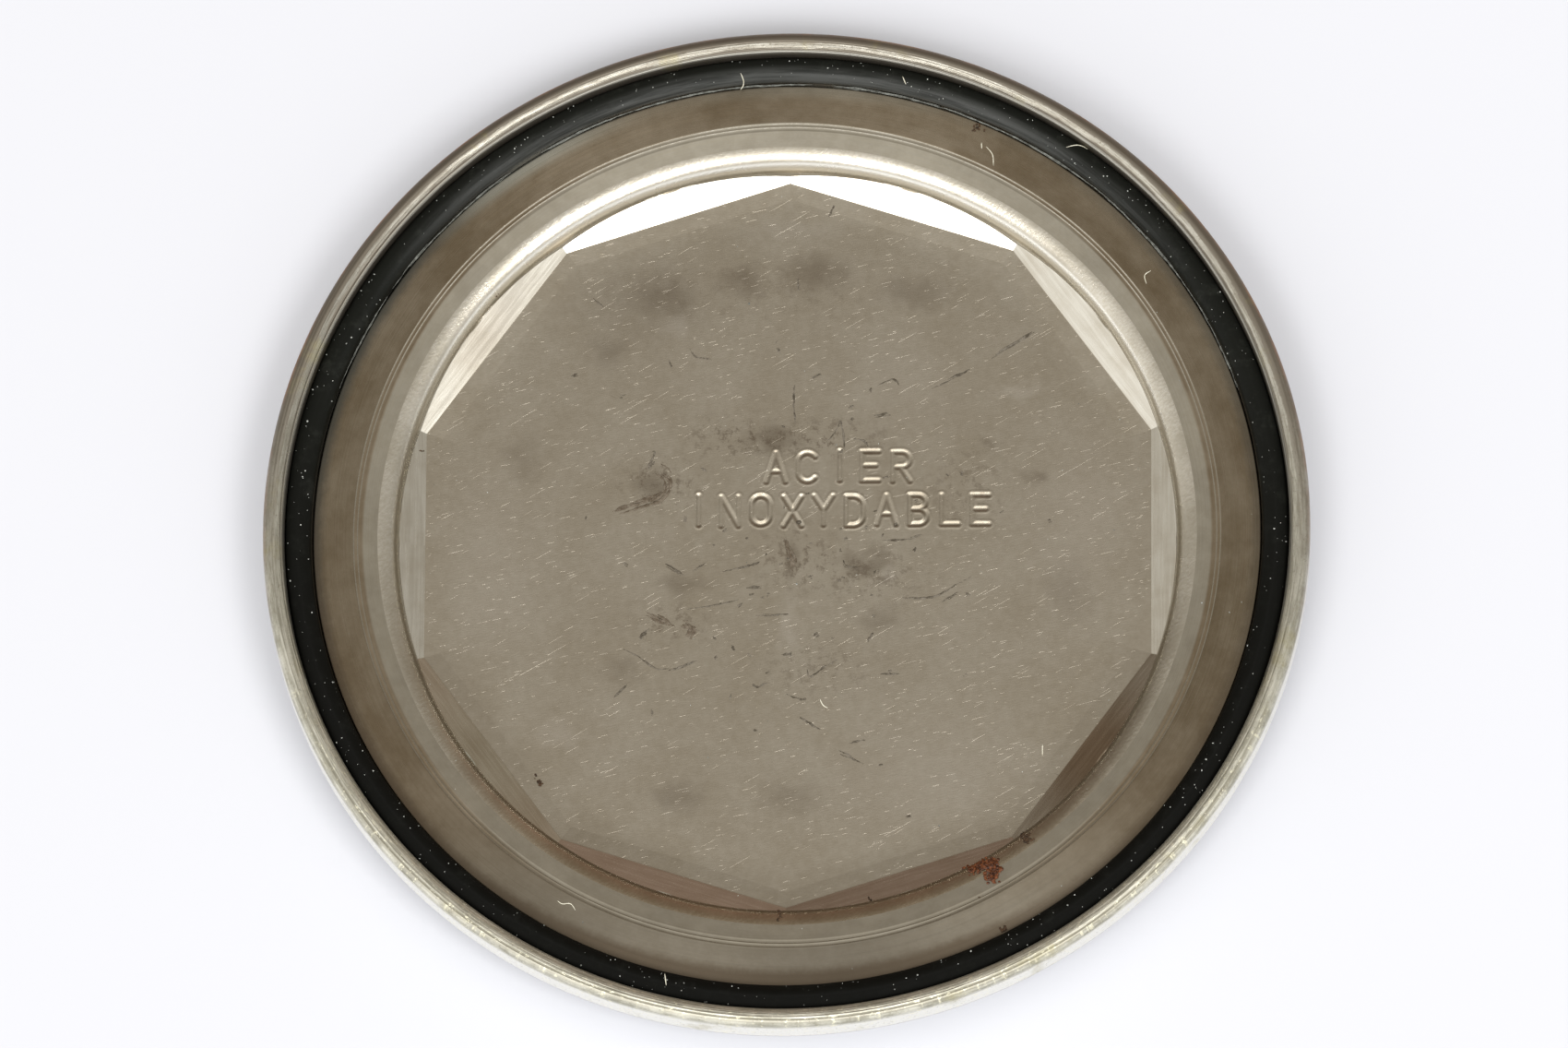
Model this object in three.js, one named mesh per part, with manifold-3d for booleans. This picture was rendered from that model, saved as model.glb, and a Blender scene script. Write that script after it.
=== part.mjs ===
// The back of a round steel watch case, lying with its inside up, and its rubber gasket.
//
// The back is one pressed and turned piece of stainless steel: a shallow dish with a raised lip,
// a flat land for the edge of the watch case, and a ten-sided recess in the middle. The recess
// shows outside as a round boss with ten sloping flats, which a case key grips.
// The gasket is a separate rubber ring that lies in a shallow seat between the land and the lip.
//
// Millimetres, +Z up. The origin is the middle of the boss's outer face, on the axis of the back.

import * as THREE from 'three';
import { mergeVertices } from 'three/addons/utils/BufferGeometryUtils.js';
import Module from 'manifold-3d';

const manifoldLibrary = await Module();
manifoldLibrary.setup();

// Driving dimensions: radii and heights of the back.
const OUTER_RADIUS = 16.0;
const SHEET_THICKNESS = 0.55;
const LAND_HEIGHT = 1.65;
const LIP_HEIGHT = 2.45;
const LIP_INNER_RADIUS = 15.36;
const LIP_INNER_ROUNDING = 0.34;
const LIP_OUTER_ROUNDING = 0.26;
const FLANGE_CORNER_RADIUS = 0.35;

// The gasket lies in a shallow seat turned between the land and the lip.
const SEAT_RADIUS = 14.5;
const SEAT_DEPTH = 0.1;

// The recess: a round wall that rolls over to the land, with ten sloping facets at its foot. The
// roll turns from level to nearly upright, where the wall starts.
const RECESS_RADIUS = 11.8;
const RECESS_ROLL_RADIUS = 1.0;
const RECESS_ROLL_TURN = THREE.MathUtils.degToRad(70);
const SIDES = 10;
const FLOOR_INRADIUS = 11.04;
const FACET_SLOPE = THREE.MathUtils.degToRad(25);

// The boss outside: a round wall that meets the flange in a fillet, with ten flats for a key.
const BOSS_RADIUS = 12.45;
const BOSS_FILLET_RADIUS = 0.25;
const KEY_FLAT_INRADIUS = 11.75;
const KEY_FLAT_SLOPE = THREE.MathUtils.degToRad(50);

// Two fine turned grooves just outside the roll of the recess.
const GROOVE_RADII = [13.24, 13.12];
const GROOVE_HALF_WIDTH = 0.03;
const GROOVE_DEPTH = 0.02;

// How far a piece of metal that is added or cut away runs past the surface it meets.
const CUT_MARGIN = 0.1;

// The gasket's section is a squeezed round, clear of the steel by the gap.
const GASKET_WIDTH = 0.8;
const GASKET_THICKNESS = 0.56;
const GASKET_GAP = 0.03;

// Each ring has a whole number of steps for each of the ten sides.
const STEPS_PER_SIDE = 8;
const RING_STEPS = SIDES * STEPS_PER_SIDE;
const CORNER_STEPS = 4;
const GASKET_STEPS = 14;

const HALF_SIDE_ANGLE = Math.PI / SIDES;

// Points along an arc in the (radius, height) plane, from one angle to another.
function arcPoints(radius, height, arcRadius, startAngle, endAngle, steps) {
  const points = [];
  for (let step = 0; step <= steps; step += 1) {
    const angle = startAngle + (endAngle - startAngle) * (step / steps);
    const x = radius + arcRadius * Math.cos(angle);
    const y = height + arcRadius * Math.sin(angle);
    points.push(new THREE.Vector2(x, y));
  }
  return points;
}

// A turned solid about +Z from a profile that runs from the axis to the axis, or closes on itself.
function turned(profile) {
  const geometry = new THREE.LatheGeometry(profile, RING_STEPS);
  geometry.rotateX(Math.PI / 2);
  return geometry;
}

// A ten-sided frustum about +Z between two heights, with a corner of each end on +Y.
// Its sides lean outward by `slope` from level, and stand `inradius` from the axis at `height`.
function tenSidedFrustum(inradius, height, slope, bottom, top) {
  const radiusAt = (z) => (inradius + (z - height) / Math.tan(slope)) / Math.cos(HALF_SIDE_ANGLE);
  const geometry = new THREE.CylinderGeometry(radiusAt(top), radiusAt(bottom), top - bottom, SIDES);
  geometry.rotateX(Math.PI / 2);
  geometry.translate(0, 0, (bottom + top) / 2);
  return geometry;
}

function toSolid(geometry) {
  const bare = geometry.clone();
  bare.deleteAttribute('normal');
  bare.deleteAttribute('uv');
  const merged = mergeVertices(bare, 1e-5);
  return new manifoldLibrary.Manifold(
    new manifoldLibrary.Mesh({
      numProp: 3,
      vertProperties: new Float32Array(merged.attributes.position.array),
      triVerts: new Uint32Array(merged.index.array),
    }),
  );
}

function toGeometry(solid) {
  const mesh = solid.getMesh();
  const geometry = new THREE.BufferGeometry();
  geometry.setAttribute('position', new THREE.BufferAttribute(mesh.vertProperties, 3));
  geometry.setIndex(new THREE.BufferAttribute(mesh.triVerts, 1));
  geometry.computeVertexNormals();
  return geometry;
}

// The outside, from the middle of the boss's face up its wall, under the flange and up the outer
// wall to the top of the lip.
function outsideProfile() {
  const quarter = Math.PI / 2;
  const flangeUnderside = LAND_HEIGHT - SHEET_THICKNESS;
  const points = [new THREE.Vector2(0, 0), new THREE.Vector2(BOSS_RADIUS, 0)];
  points.push(...arcPoints(
    BOSS_RADIUS + BOSS_FILLET_RADIUS, flangeUnderside - BOSS_FILLET_RADIUS, BOSS_FILLET_RADIUS,
    2 * quarter, quarter, CORNER_STEPS,
  ));
  points.push(...arcPoints(
    OUTER_RADIUS - FLANGE_CORNER_RADIUS, flangeUnderside + FLANGE_CORNER_RADIUS, FLANGE_CORNER_RADIUS,
    -quarter, 0, CORNER_STEPS,
  ));
  points.push(...arcPoints(
    OUTER_RADIUS - LIP_OUTER_ROUNDING, LIP_HEIGHT - LIP_OUTER_ROUNDING, LIP_OUTER_ROUNDING,
    0, quarter, CORNER_STEPS,
  ));
  return points;
}

// The inside of the dish, from the top of the lip down to the gasket's seat and the land, over
// the grooves and the roll into the recess, and across its floor to the middle.
function insideProfile() {
  const points = arcPoints(
    LIP_INNER_RADIUS + LIP_INNER_ROUNDING, LIP_HEIGHT - LIP_INNER_ROUNDING, LIP_INNER_ROUNDING,
    Math.PI / 2, Math.PI, CORNER_STEPS,
  );
  points.push(new THREE.Vector2(LIP_INNER_RADIUS, LAND_HEIGHT - SEAT_DEPTH));
  points.push(new THREE.Vector2(SEAT_RADIUS, LAND_HEIGHT - SEAT_DEPTH));
  points.push(new THREE.Vector2(SEAT_RADIUS, LAND_HEIGHT));
  for (const radius of GROOVE_RADII) {
    points.push(new THREE.Vector2(radius + GROOVE_HALF_WIDTH, LAND_HEIGHT));
    points.push(new THREE.Vector2(radius, LAND_HEIGHT - GROOVE_DEPTH));
    points.push(new THREE.Vector2(radius - GROOVE_HALF_WIDTH, LAND_HEIGHT));
  }
  const rollMiddle = RECESS_RADIUS + RECESS_ROLL_RADIUS * Math.sin(RECESS_ROLL_TURN);
  points.push(...arcPoints(
    rollMiddle, LAND_HEIGHT - RECESS_ROLL_RADIUS, RECESS_ROLL_RADIUS,
    Math.PI / 2, Math.PI / 2 + RECESS_ROLL_TURN, CORNER_STEPS,
  ));
  points.push(new THREE.Vector2(RECESS_RADIUS, SHEET_THICKNESS));
  points.push(new THREE.Vector2(0, SHEET_THICKNESS));
  return points;
}

// A ring about +Z with square edges, less whatever lies inside a ten-sided frustum.
function ringAroundFrustum(innerRadius, outerRadius, bottom, top, frustum) {
  const ring = turned([
    new THREE.Vector2(innerRadius, bottom),
    new THREE.Vector2(outerRadius, bottom),
    new THREE.Vector2(outerRadius, top),
    new THREE.Vector2(innerRadius, top),
    new THREE.Vector2(innerRadius, bottom),
  ]);
  return toSolid(ring).subtract(toSolid(frustum));
}

// The metal of the ten facets: a ring at the foot of the recess wall, sunk in floor and wall.
function facetMetal() {
  const bottom = SHEET_THICKNESS - CUT_MARGIN;
  const top = SHEET_THICKNESS + (RECESS_RADIUS - FLOOR_INRADIUS) * Math.tan(FACET_SLOPE);
  const enclosed = tenSidedFrustum(
    FLOOR_INRADIUS, SHEET_THICKNESS, FACET_SLOPE, bottom - CUT_MARGIN, top + CUT_MARGIN,
  );
  const innerRadius = FLOOR_INRADIUS - 3 * CUT_MARGIN;
  return ringAroundFrustum(innerRadius, RECESS_RADIUS + CUT_MARGIN, bottom, top, enclosed);
}

// The metal that the ten key flats take off the edge of the boss.
function keyFlatCuts() {
  const top = (BOSS_RADIUS - KEY_FLAT_INRADIUS) * Math.tan(KEY_FLAT_SLOPE);
  const kept = tenSidedFrustum(
    KEY_FLAT_INRADIUS, 0, KEY_FLAT_SLOPE, -2 * CUT_MARGIN, top + CUT_MARGIN,
  );
  const innerRadius = KEY_FLAT_INRADIUS - 3 * CUT_MARGIN;
  return ringAroundFrustum(innerRadius, BOSS_RADIUS + CUT_MARGIN, -CUT_MARGIN, top, kept);
}

function caseBackGeometry() {
  const dish = toSolid(turned([...outsideProfile(), ...insideProfile()]));
  return toGeometry(dish.add(facetMetal()).subtract(keyFlatCuts()));
}

function gasketGeometry() {
  const middleRadius = LIP_INNER_RADIUS - GASKET_GAP - GASKET_WIDTH / 2;
  const middleHeight = LAND_HEIGHT - SEAT_DEPTH + GASKET_GAP + GASKET_THICKNESS / 2;
  const section = [];
  for (let step = 0; step <= GASKET_STEPS; step += 1) {
    const angle = 2 * Math.PI * (step / GASKET_STEPS);
    const x = middleRadius + (GASKET_WIDTH / 2) * Math.cos(angle);
    const y = middleHeight + (GASKET_THICKNESS / 2) * Math.sin(angle);
    section.push(new THREE.Vector2(x, y));
  }
  return turned(section);
}

const steel = new THREE.MeshStandardMaterial({
  name: 'stainless_steel', color: 0x9a9184, metalness: 1.0, roughness: 0.38,
});

const rubber = new THREE.MeshStandardMaterial({
  name: 'black_rubber', color: 0x17170f, metalness: 0.0, roughness: 0.6,
});

function namedMesh(name, geometry, material) {
  const mesh = new THREE.Mesh(geometry, material);
  mesh.name = name;
  return mesh;
}

const watchCaseBack = new THREE.Group();
watchCaseBack.add(namedMesh('case_back', caseBackGeometry(), steel));
watchCaseBack.add(namedMesh('gasket', gasketGeometry(), rubber));

export default watchCaseBack;
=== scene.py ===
import math
import random

import bmesh
import bpy
import numpy as np
from mathutils import Matrix, Vector, noise
from mathutils.geometry import delaunay_2d_cdt


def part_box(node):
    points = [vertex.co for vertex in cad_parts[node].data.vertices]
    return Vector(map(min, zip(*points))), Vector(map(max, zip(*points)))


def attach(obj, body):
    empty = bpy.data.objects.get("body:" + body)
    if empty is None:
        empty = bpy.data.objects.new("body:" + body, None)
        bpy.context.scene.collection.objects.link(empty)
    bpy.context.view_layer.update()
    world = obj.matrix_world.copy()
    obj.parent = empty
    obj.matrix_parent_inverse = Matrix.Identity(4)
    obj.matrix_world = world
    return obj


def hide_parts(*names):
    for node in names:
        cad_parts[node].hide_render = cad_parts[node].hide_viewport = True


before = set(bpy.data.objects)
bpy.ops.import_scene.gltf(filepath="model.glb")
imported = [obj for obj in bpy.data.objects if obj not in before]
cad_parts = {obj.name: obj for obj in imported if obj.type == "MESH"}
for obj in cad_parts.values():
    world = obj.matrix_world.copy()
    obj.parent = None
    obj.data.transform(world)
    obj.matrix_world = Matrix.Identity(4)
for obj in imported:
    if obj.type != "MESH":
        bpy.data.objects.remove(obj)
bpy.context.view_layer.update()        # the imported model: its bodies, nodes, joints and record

# A watch case back lying with its inside up, and its gasket. Lengths are millimetres in the
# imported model's frame unless a name says otherwise; they become metres when a mesh is made.
MM = 0.001

back_low, back_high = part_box("case_back")
gasket_low, gasket_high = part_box("gasket")

# The steel back, from the middle outwards.
FLOOR = 0.55
SIDES = 10
SIDE_ANGLE = 2 * math.pi / SIDES
FLOOR_INRADIUS = 11.04
FLOOR_RISE = 0.035
FLOOR_RISE_WIDTH = 0.45
FLOOR_MARGIN = 0.9
FACET_SLOPE = math.radians(25)
RECESS_RADIUS = 11.9
ROLL_FOOT = 0.4
ROLL_RADIUS = 0.5
SHOULDER_RADIUS = 12.42
SHOULDER_WIDTH = 0.42
SHOULDER_SLOPE = math.radians(20)
SHOULDER_ROUNDING = 1.0
LEDGE_DROP = 0.08
LAND = 1.65
GROOVE_RADII = (13.12, 13.24)
GROOVE_INNER_WIDTH = 0.08
GROOVE_OUTER_WIDTH = 0.034
GROOVE_DEPTH = 0.016
SEAT_RADIUS = 14.5
SEAT_DEPTH = 0.1
SEAT_EDGE_ROUNDING = 0.03
LIP_INNER_RADIUS = 15.36
LIP_INNER_ROUNDING = 0.34
LIP_OUTER_ROUNDING = 0.26
LIP_TOP = back_high[2] / MM
OUTER_RADIUS = back_high[0] / MM
FLANGE_UNDERSIDE = LAND - FLOOR
FLANGE_ROUNDING = 0.35
BOSS_FILLET = 0.25
BOSS_RADIUS = 12.45
KEY_FLAT_INRADIUS = 11.75
KEY_FLAT_SLOPE = math.radians(50)

# The gasket's squeezed round section.
GASKET_OUTER_RADIUS = gasket_high[0] / MM
GASKET_WIDTH = 0.8
GASKET_MIDDLE_RADIUS = GASKET_OUTER_RADIUS - GASKET_WIDTH / 2
GASKET_MIDDLE_HEIGHT = (gasket_high[2] + gasket_low[2]) / 2 / MM
GASKET_HALF_HEIGHT = (gasket_high[2] - gasket_low[2]) / 2 / MM

# The camera: how far it leans from straight above and to which side, how far away it is, how
# wide a strip it takes in at the object, and how far its aim is from the middle of the floor.
CAMERA_LEAN = math.radians(18.6)
CAMERA_SIDE = math.radians(6.56)
CAMERA_DISTANCE = 565.0
VIEW_WIDTH = 48.0
AIM_OFFSET = (-0.124, 0.606)


def camera():
    turn = Matrix.Rotation(CAMERA_SIDE, 3, "Z")
    axes = turn @ Matrix.Rotation(CAMERA_LEAN, 3, "X") @ turn.inverted()
    place = Vector((0, 0, FLOOR)) + axes @ Vector((*AIM_OFFSET, CAMERA_DISTANCE))
    data = bpy.data.cameras.new("camera")
    data.sensor_width = 36.0
    data.lens = data.sensor_width * CAMERA_DISTANCE / VIEW_WIDTH
    data.clip_start = 0.01
    data.clip_end = 10.0
    made = bpy.data.objects.new("camera", data)
    made.matrix_world = Matrix.Translation(place * MM) @ axes.to_4x4()
    bpy.context.scene.collection.objects.link(made)
    bpy.context.scene.camera = made


class Nodes:
    """A node tree, and short calls for the nodes used here."""

    def __init__(self, tree):
        self.tree = tree
        tree.nodes.clear()

    def add(self, kind, inputs=None, **settings):
        """A new node with these settings, and with its inputs set or linked."""
        node = self.tree.nodes.new(kind)
        for name, value in settings.items():
            setattr(node, name, value)
        for name, value in (inputs or {}).items():
            self.feed(node.inputs[name], value)
        return node

    def feed(self, target, value):
        """Link a socket to an input, or set the input to a plain value."""
        if isinstance(value, bpy.types.NodeSocket):
            self.tree.links.new(value, target)
        elif target.type == "RGBA":
            target.default_value = (*value, 1.0)
        else:
            target.default_value = value


class Shader(Nodes):
    """A material with a Principled surface. Its colour is built up by cover and tint."""

    def __init__(self, name):
        self.material = bpy.data.materials.new(name)
        self.material.use_nodes = True
        super().__init__(self.material.node_tree)
        self.surface = self.add("ShaderNodeBsdfPrincipled")
        self.add("ShaderNodeOutputMaterial", {"Surface": self.surface.outputs[0]})
        metres = self.add("ShaderNodeTexCoord").outputs["Object"]
        self.place = self.vector("SCALE", metres, 1 / MM)
        self.x, self.y, self.z = self.add("ShaderNodeSeparateXYZ", {0: self.place}).outputs
        self.flat = self.vector("MULTIPLY", self.place, (1, 1, 0))
        self.radius = self.vector("LENGTH", self.flat)

    def finished(self, roughness, **inputs):
        """The material, with its colour, its roughness and more inputs of its surface set."""
        for name, value in {"Base_Color": self.colour, "Roughness": roughness, **inputs}.items():
            self.feed(self.surface.inputs[name.replace("_", " ")], value)
        return self.material

    def metal(self, roughness, relief, height, strength, **inputs):
        """The finished material of a metal with small relief, its height in millimetres."""
        bump = self.bump(relief, height, strength)
        return self.finished(roughness, Metallic=1.0, Normal=bump, **inputs)

    def math(self, operation, first, second=0.0):
        return self.add("ShaderNodeMath", {0: first, 1: second}, operation=operation).outputs[0]

    def times(self, *factors):
        """The product of some values."""
        product = factors[0]
        for factor in factors[1:]:
            product = self.math("MULTIPLY", product, factor)
        return product

    def vector(self, operation, first, second=(0.0, 0.0, 0.0)):
        """Vector arithmetic. A vector is scaled by a plain number or value."""
        slot = "Scale" if operation == "SCALE" else 1
        node = self.add("ShaderNodeVectorMath", {0: first, slot: second}, operation=operation)
        return node.outputs["Value" if operation == "LENGTH" else "Vector"]

    def noise(self, scale=1.0, detail=2.0, roughness=0.5, on=None):
        """A noise on the place, or on some other coordinates."""
        inputs = {"Vector": on or self.place, "Scale": scale, "Detail": detail, "Roughness": roughness}
        return self.add("ShaderNodeTexNoise", inputs).outputs["Fac"]

    def band(self, value, low, high, to_low=0.0, to_high=1.0):
        """A value between low and high, smoothly mapped to another range."""
        ends = {"From Min": low, "From Max": high, "To Min": to_low, "To Max": to_high}
        inputs = {"Value": value, **ends}
        return self.add("ShaderNodeMapRange", inputs, interpolation_type="SMOOTHSTEP").outputs[0]

    def window(self, value, rise, fall, height=1.0):
        """A mask that rises over one range of a value and falls over a further one."""
        return self.times(self.band(value, *rise), self.band(value, *fall, height, 0.0))

    def blend(self, factor, first, second, kind="MIX"):
        """A colour between two others. The node's inputs 6 and 7 and output 2 are its colours."""
        inputs = {"Factor": factor, 6: first, 7: second}
        return self.add("ShaderNodeMix", inputs, data_type="RGBA", blend_type=kind).outputs[2]

    def cover(self, colour, *masks):
        """Lay a colour over the colour so far, as thickly as the product of some masks."""
        self.colour = self.blend(self.times(*masks), self.colour, colour)

    def tint(self, tone, mask):
        """Multiply the colour so far by a tone, as strongly as a mask says."""
        self.colour = self.blend(mask, self.colour, tone, "MULTIPLY")

    def stretched(self, turn, stretch):
        """Coordinates turned in plan by some degrees and then stretched along their x axis."""
        inputs = {"Vector": self.place, "Rotation": (0.0, 0.0, math.radians(turn))}
        inputs["Scale"] = (stretch, 1.0, 1.0)
        return self.add("ShaderNodeMapping", inputs, vector_type="TEXTURE").outputs[0]

    def wobbled(self, amount, scale):
        """Coordinates pushed about by a soft noise."""
        soft = self.add("ShaderNodeTexNoise", {"Vector": self.place, "Scale": scale})
        push = self.vector("SUBTRACT", soft.outputs["Color"], (0.5, 0.5, 0.5))
        return self.vector("ADD", self.place, self.vector("SCALE", push, amount))

    def patches(self, ovals, on=None):
        """A mask of soft ovals, each (x, y, half width, half height, strength)."""
        total = 0.0
        for x, y, half_width, half_height, strength in ovals:
            moved = self.vector("SUBTRACT", on or self.place, (x, y, 0.0))
            scaled = self.vector("MULTIPLY", moved, (1 / half_width, 1 / half_height, 0))
            oval = self.band(self.vector("LENGTH", scaled), 0.1, 1.3, strength, 0.0)
            total = self.math("ADD", total, oval)
        return self.math("MINIMUM", total, 1.0)

    def turned(self, across, along):
        """Coordinates for marks that run round the axis: fine across them and long along them."""
        around = self.vector("SCALE", self.vector("NORMALIZE", self.flat), along)
        section = self.math("ADD", self.radius, self.z)
        radial = self.add("ShaderNodeCombineXYZ", {"Z": self.times(section, across)})
        return self.vector("ADD", around, radial.outputs[0])

    def along_side(self, across, along):
        """Coordinates for marks that run parallel to the nearest of the ten sides."""
        angle = self.math("ARCTAN2", self.y, self.x)
        wrap_range = {1: SIDE_ANGLE / 2, 2: -SIDE_ANGLE / 2}
        off = self.add("ShaderNodeMath", {0: angle, **wrap_range}, operation="WRAP").outputs[0]
        parts = {
            "X": self.times(self.radius, self.math("SINE", off), along),
            "Y": self.times(self.radius, self.math("COSINE", off), across),
            "Z": self.times(self.math("SUBTRACT", angle, off), 7.0),
        }
        return self.add("ShaderNodeCombineXYZ", parts).outputs[0]

    def bump(self, height, distance, strength):
        """The surface's direction over small relief."""
        inputs = {"Height": height, "Distance": distance * MM, "Strength": strength}
        return self.add("ShaderNodeBump", inputs).outputs["Normal"]


def scratches(shader, turn, length, width, amount):
    """A 0 to 1 mask of short straight scratches at one angle, more of them as amount nears 1."""
    lines = shader.noise(1 / width, detail=1.0, on=shader.stretched(turn, length / width))
    return shader.band(lines, 0.78 - 0.2 * amount, 0.84 - 0.2 * amount)


# Soft dark and pale patches on the floor: x, y, half width, half height and strength.
FLOOR_SMUDGES = (
    (-1.5, 8.5, 0.8, 0.6, 0.8), (0.8, 8.7, 1, 0.8, 0.9), (3.9, 8.1, 1.3, 0.6, 0.6),
    (-3.9, 8, 1.1, 0.8, 0.6), (-5.6, 6.3, 0.8, 0.6, 0.6), (-0.5, 3.4, 1.1, 0.5, 1),
    (0.1, -0.5, 0.3, 0.9, 0.9), (2.4, -0.7, 0.9, 0.45, 0.9), (2.9, -2.5, 0.7, 0.5, 0.6),
    (-3.2, -1.3, 0.8, 0.4, 0.7), (-5.1, -4, 0.8, 0.5, 0.5), (-3.3, -8.1, 0.9, 0.6, 0.6),
    (0.1, -8.1, 1.2, 0.6, 0.5), (6.2, 3.2, 0.4, 0.3, 0.7), (7.6, 2.1, 0.4, 0.35, 0.8),
    (-4.2, 1.9, 0.5, 0.7, 0.9), (8.6, -1.5, 0.8, 1.2, 0.5), (-8.2, 2.8, 0.7, 1, 0.4),
    (-4.5, 7.8, 2.6, 1.6, 0.35),
)
FLOOR_SPECKLED = (
    (-1.6, 3.4, 1.8, 0.9, 0.7), (1.2, 3.4, 2.2, 0.8, 0.7), (-4, 2, 1.5, 1, 0.7),
    (0.2, -0.4, 1.5, 1.4, 0.6), (2.6, -1, 2.2, 1.2, 0.5), (-3.6, -2.6, 1.6, 1, 0.5),
    (1, -4, 2.2, 1.2, 0.4), (5.5, 1.8, 1.6, 1.8, 0.4), (-1, 8.2, 5, 1.2, 0.25),
)
FLOOR_PALE_PATCHES = (
    (7.1, 4.9, 0.8, 0.4, 0.7), (-3.4, 7.1, 0.5, 0.5, 0.6), (0.1, -2.6, 0.4, 1, 0.7),
    (3.1, -1, 0.35, 0.3, 0.6), (-7, -6.2, 0.9, 0.5, 0.5), (0.2, 10.2, 1.6, 0.4, 0.4),
    (9, 0.5, 2, 3.5, 0.45), (4.5, -7.5, 3.5, 2.2, 0.45), (-9, -0.5, 1.8, 3.5, 0.4),
    (3.5, 5, 2.6, 1.8, 0.3),
)

# Where the facets are darker and browner, where they are greyer, and a pale haze on the land by the
# gasket, in the same terms.
FACET_DARKER_BROWNER = ((9.2, -6.7, 2.6, 2.6, 0.85), (-9.2, 6.7, 2.4, 2.4, 0.2))
FACET_GREYED = ((-9.2, -6.7, 3, 3, 1),)
LAND_HAZE = ((-8.2, 11.8, 4.5, 2.6, 0.55), (1, 14.2, 5, 1.2, 0.2))


def floor_steel():
    """Dull pressed floor: cloudy tarnish, fine scratches that catch the light, dark smudges."""
    floor = Shader("floor_steel")
    clouds = floor.noise(0.5, detail=5, roughness=0.6)
    cloudy = floor.band(clouds, 0.3, 0.7)
    floor.colour = floor.blend(cloudy, (0.3, 0.262, 0.202), (0.372, 0.332, 0.266))
    mottle = floor.noise(3.5, detail=6, roughness=0.7)
    floor.tint((0.9, 0.89, 0.87), floor.band(mottle, 0.3, 0.7))
    wobbled = floor.wobbled(1.1, 1.3)
    floor.cover((0.155, 0.125, 0.09), floor.patches(FLOOR_SMUDGES, wobbled), 0.65)
    specks = floor.band(floor.noise(3.2, detail=8, roughness=0.8), 0.5, 0.6)
    floor.cover((0.13, 0.1, 0.07), specks, floor.patches(FLOOR_SPECKLED))
    floor.cover((0.5, 0.46, 0.4), floor.patches(FLOOR_PALE_PATCHES, wobbled), 0.35)
    short = scratches(floor, 14, 0.45, 0.028, 0.3)
    long = scratches(floor, 31, 1.3, 0.03, 0.22)
    bright = floor.math("MAXIMUM", short, long)
    floor.cover((0.74, 0.7, 0.62), bright, 0.28)
    floor.cover((0.12, 0.095, 0.065), scratches(floor, -24, 0.8, 0.05, 0.02), 0.5)
    fine = floor.noise(26, detail=3, roughness=0.7, on=floor.stretched(12, 5))
    roughness = floor.band(clouds, 0.3, 0.7, 0.44, 0.37)
    return floor.metal(roughness, floor.math("SUBTRACT", fine, bright), 0.004, 0.6)


def facet_steel():
    """Smoother burnished facets with faint streaks parallel to their straight edges."""
    facet = Shader("facet_steel")
    streaks = facet.noise(detail=4, roughness=0.7, on=facet.along_side(11, 0.45))
    film = facet.noise(0.9, detail=4, roughness=0.6)
    streaked = facet.band(streaks, 0.35, 0.7)
    facet.colour = facet.blend(streaked, (0.52, 0.485, 0.41), (0.6, 0.57, 0.495))
    facet.tint((0.88, 0.86, 0.83), facet.band(film, 0.35, 0.75))
    # A darker, browner tone over the facets at the lower right.
    facet.tint((0.62, 0.5, 0.4), facet.patches(FACET_DARKER_BROWNER))
    facet.tint((0.95, 1, 1), facet.patches(FACET_GREYED))
    return facet.metal(facet.band(streaks, 0.3, 0.7, 0.22, 0.28), streaks, 0.0022, 0.5)


def roll_steel():
    """The satin roll over the edge of the recess, with a pebbled grain, and the grooves. Its far wall
    has a painted reflection, and its near side and grooves have painted shade.
    """
    roll = Shader("roll_steel")
    grain = roll.noise(13, detail=4, roughness=0.65, on=roll.stretched(35, 1.8))
    clouds = roll.noise(0.6, detail=3)
    cloudy = roll.band(clouds, 0.35, 0.65)
    roll.colour = roll.blend(cloudy, (0.45, 0.415, 0.345), (0.56, 0.525, 0.45))
    roll.tint((0.86, 0.84, 0.8), roll.band(grain, 0.3, 0.75, 1, 0))
    past_wall = roll.math("SUBTRACT", roll.radius, RECESS_RADIUS)
    # Painted reflection: past the recess edge on the far side the wall is made pale, standing in for
    # light it catches from the floor.
    burnished = roll.window(past_wall, (0.02, 0.05), (0.14, 0.22))
    roll.cover((0.88, 0.86, 0.79), burnished, roll.band(roll.y, 0, 8))
    # Painted shade: on the near side the roll is darker and browner, standing in for the dim far side
    # that it reflects.
    roll.tint((0.8, 0.7, 0.58), roll.band(roll.y, -12, -6, 0.75, 0))
    # Painted shade: the groove walls are darkened except on the far side, where they glint.
    past_groove = roll.math("SUBTRACT", roll.radius, GROOVE_RADII[0])
    shaded_groove = roll.band(past_groove, -0.1, -0.05)
    roll.cover((0.29, 0.26, 0.205), shaded_groove, roll.band(roll.y, 3, 9, 1, 0))
    return roll.metal(roll.band(clouds, 0.3, 0.7, 0.3, 0.24), grain, 0.01, 0.7)


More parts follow.
